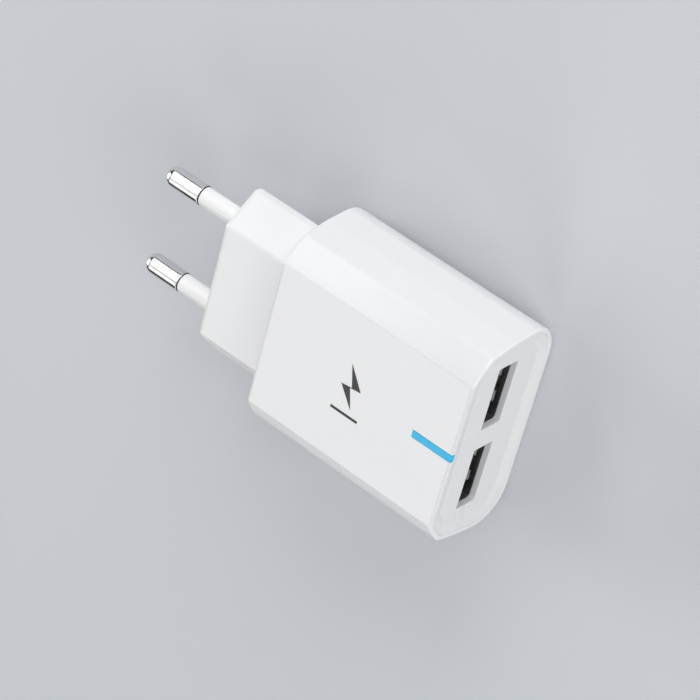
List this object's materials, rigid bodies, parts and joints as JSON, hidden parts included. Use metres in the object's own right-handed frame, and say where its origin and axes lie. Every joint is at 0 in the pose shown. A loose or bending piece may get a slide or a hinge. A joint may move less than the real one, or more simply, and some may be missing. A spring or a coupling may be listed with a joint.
{
  "type": "usb wall charger",
  "caption": "Slim plug-in USB wall charger: white shell with round europlug pins, recessed outlet plate with side-by-side USB sockets, blue light bar and working electronics inside.",
  "frame": {"origin": "on the flat back, below the middle of the overall length from outlet rim to pin tips", "axes": "+X across the two pins, +Y along the pins towards their tips, +Z out of the front face that carries the light bar"},
  "size_m": [0.0416, 0.0776, 0.0222],
  "materials": {
    "case_white": "glossy moulded",
    "plate_white": "satin moulded",
    "light_blue": "clear moulded, lit from inside",
    "print_grey": "pad-printed ink",
    "pin_nickel": "nickel plated, polished",
    "sleeve_white": "satin moulded",
    "clip_brass": "bright strip",
    "shell_steel": "tin plated, stamped",
    "tongue_black": "moulded",
    "contact_gold": "gold flashed",
    "board_green": "solder mask",
    "led_clear": "clear lens",
    "ferrite": "ground ferrite",
    "bobbin_tan": "moulded phenolic",
    "copper_wire": "enamelled",
    "tape_yellow": "polyester tape",
    "can_grey": "printed sleeve",
    "can_blue": "printed sleeve",
    "disc_blue": "dipped",
    "inductor_brown": "wound and varnished",
    "resistor_green": "dipped",
    "chip_black": "moulded"
  },
  "bodies": {
    "charger": {"case": "case_white", "outlet_plate": "plate_white", "light_pipe": "light_blue", "printed_mark": "print_grey", "pin_left": "pin_nickel", "pin_right": "pin_nickel", "pin_sleeve_left": "sleeve_white", "pin_sleeve_right": "sleeve_white", "pin_clip_left": "clip_brass", "pin_clip_right": "clip_brass", "usb_shell_left": "shell_steel", "usb_shell_right": "shell_steel", "usb_tongue_left": "tongue_black", "usb_tongue_right": "tongue_black", "usb_contact_tails_left": "contact_gold", "usb_contact_tails_right": "contact_gold", "main_board": "board_green", "indicator_led": "led_clear", "transformer_core": "ferrite", "transformer_bobbin": "bobbin_tan", "transformer_winding": "copper_wire", "transformer_tape": "tape_yellow", "mains_capacitor_left": "can_grey", "mains_capacitor_right": "can_grey", "output_capacitor_left": "can_blue", "output_capacitor_right": "can_blue", "safety_capacitor": "disc_blue", "filter_inductor": "inductor_brown", "fusible_resistor": "resistor_green", "bridge_rectifier": "chip_black", "power_controller": "chip_black", "output_rectifier": "chip_black", "optocoupler": "chip_black", "charge_detect_chips": "chip_black", "chip_resistors": "chip_black"},
    "contacts_left": {"usb_contact_springs_left": "contact_gold"},
    "contacts_right": {"usb_contact_springs_right": "contact_gold"}
  },
  "joints": [
    {"name": "contact_flex_left", "type": "hinge", "parent": "charger", "child": "contacts_left", "pos_m": [-0.00845, -0.0268, 0.01174], "axis": [-1, 0, 0], "range_deg": [0, 3], "stiffness_Nm_per_rad": 0.3},
    {"name": "contact_flex_right", "type": "hinge", "parent": "charger", "child": "contacts_right", "pos_m": [0.00845, -0.0268, 0.01174], "axis": [-1, 0, 0], "range_deg": [0, 3], "stiffness_Nm_per_rad": 0.3}
  ]
}
